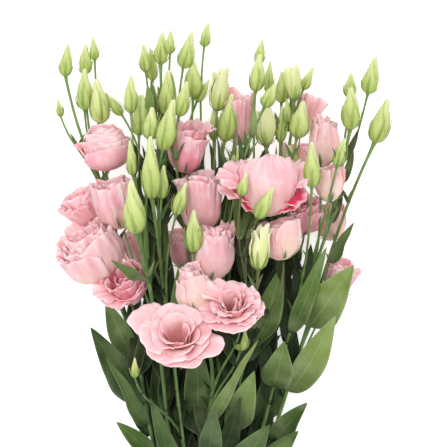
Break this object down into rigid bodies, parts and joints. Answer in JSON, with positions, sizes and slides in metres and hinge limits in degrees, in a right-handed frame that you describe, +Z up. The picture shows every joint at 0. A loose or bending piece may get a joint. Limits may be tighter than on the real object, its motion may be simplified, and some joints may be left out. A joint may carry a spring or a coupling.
{
  "type": "lisianthus flower bunch",
  "caption": "Bunch of cut double lisianthus stems with pink ruffled flowers, pointed green buds and broad leaves, held by a plain rubber band and lying on its back.",
  "frame": {"origin": "middle of the lying bunch's bounding box, on the table under it", "axes": "+Z up from the table the bunch lies on, +Y along the stems towards the flowers, +X to the right when the flowers point away"},
  "size_m": [0.2744, 0.6198, 0.1681],
  "materials": {
    "stem_green": "smooth green stems and buds",
    "leaf_green": "smooth grey-green leaves",
    "petal_pink": "soft pink petals",
    "band_rubber": "plain tan rubber"
  },
  "bodies": {
    "root": {"bloom_01": "petal_pink", "bloom_02": "petal_pink", "bloom_03": "petal_pink", "bloom_04": "petal_pink", "bloom_05": "petal_pink", "bloom_06": "petal_pink", "bloom_07": "petal_pink", "bloom_08": "petal_pink", "bloom_09": "petal_pink", "bloom_10": "petal_pink", "bloom_11": "petal_pink", "bloom_12": "petal_pink", "bloom_13": "petal_pink", "bloom_14": "petal_pink", "bloom_15": "petal_pink", "bloom_16": "petal_pink", "bloom_17": "petal_pink", "bloom_18": "petal_pink", "bloom_19": "petal_pink", "bloom_20": "petal_pink", "bloom_21": "petal_pink", "bloom_22": "petal_pink", "bloom_23": "petal_pink", "leaf_01": "leaf_green", "leaf_02": "leaf_green", "leaf_03": "leaf_green", "leaf_04": "leaf_green", "leaf_05": "leaf_green", "leaf_06": "leaf_green", "leaf_07": "leaf_green", "leaf_08": "leaf_green", "leaf_09": "leaf_green", "leaf_10": "leaf_green", "leaf_11": "leaf_green", "leaf_12": "leaf_green", "leaf_13": "leaf_green", "leaf_14": "leaf_green", "leaf_15": "leaf_green", "leaf_16": "leaf_green", "leaf_17": "leaf_green", "leaf_18": "leaf_green", "leaf_19": "leaf_green", "leaf_20": "leaf_green", "leaf_21": "leaf_green", "leaf_22": "leaf_green", "leaf_23": "leaf_green", "rubber_band": "band_rubber", "stem_a": "stem_green", "stem_b": "stem_green", "stem_c": "stem_green", "stem_d": "stem_green", "stem_e": "stem_green", "stem_f": "stem_green", "stem_g": "stem_green", "stem_h": "stem_green", "stem_i": "stem_green", "stem_j": "stem_green", "stem_k": "stem_green", "stem_l": "stem_green"}
  },
  "joints": []
}
